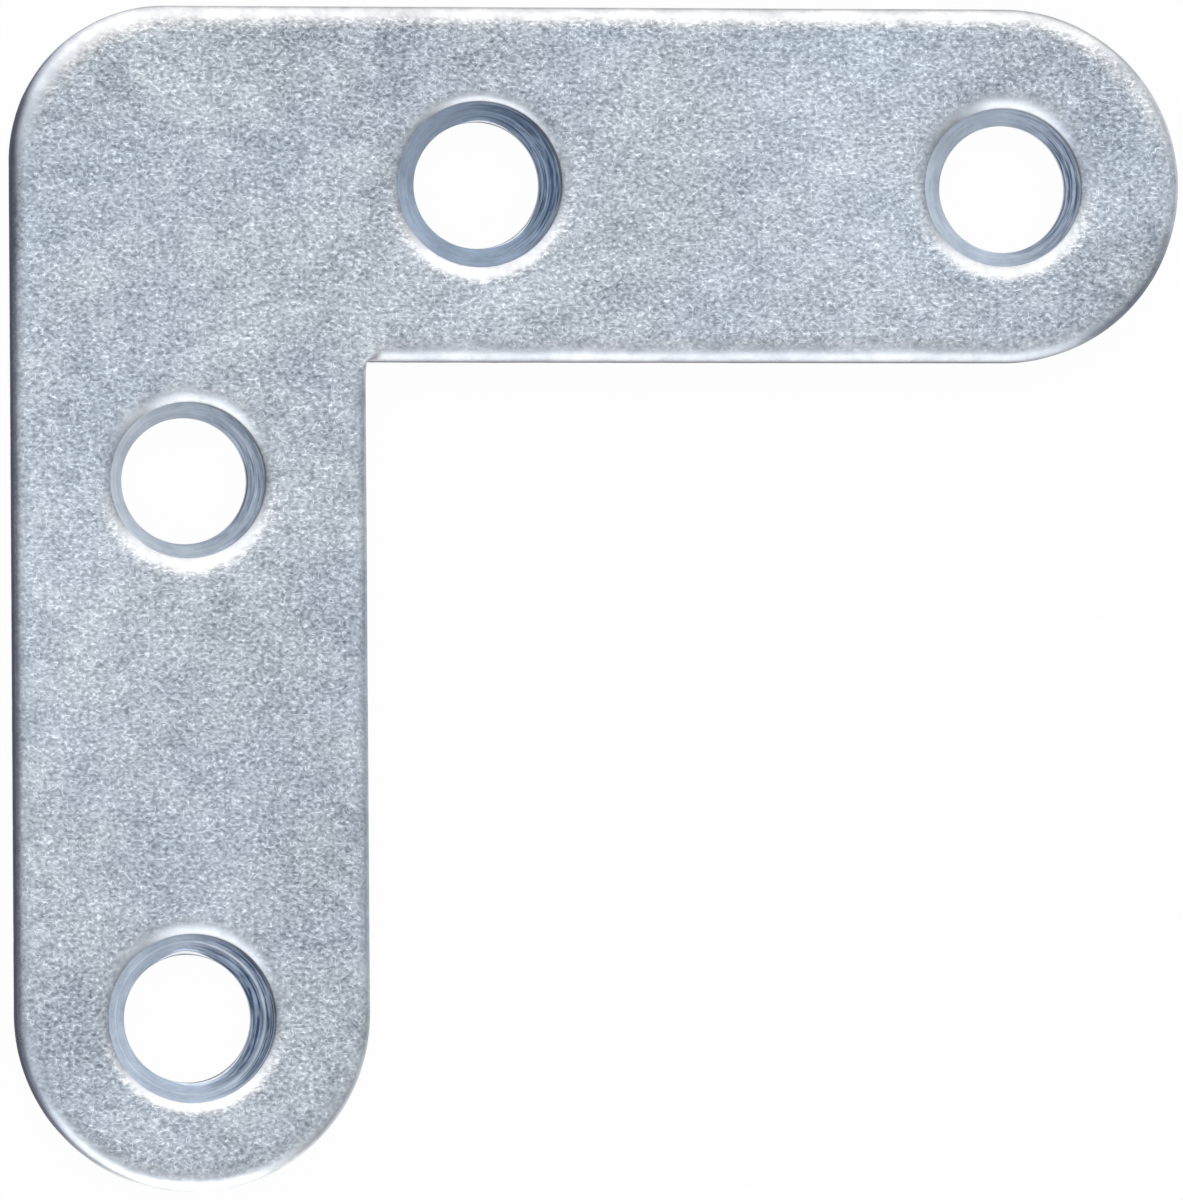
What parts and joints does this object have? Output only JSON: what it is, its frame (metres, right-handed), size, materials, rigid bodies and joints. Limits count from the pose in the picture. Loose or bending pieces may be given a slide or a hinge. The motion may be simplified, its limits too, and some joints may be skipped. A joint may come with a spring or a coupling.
{
  "type": "flat furniture corner bracket",
  "caption": "Flat L-shaped steel plate with rounded arm ends and countersunk screw holes, screwed flat across a furniture or frame joint to hold its corner square.",
  "frame": {"origin": "crossing of the centre lines of the two arms, on the flat back face", "axes": "+Z out of the countersunk face, one arm along +X, the other arm along -Y"},
  "size_m": [0.05, 0.05, 0.002],
  "materials": {
    "zinc_plated_steel": "electroplated zinc with a pale blue passivation, fine matt grain with a slight sparkle"
  },
  "bodies": {
    "root": {"corner_plate": "zinc_plated_steel"}
  },
  "joints": []
}
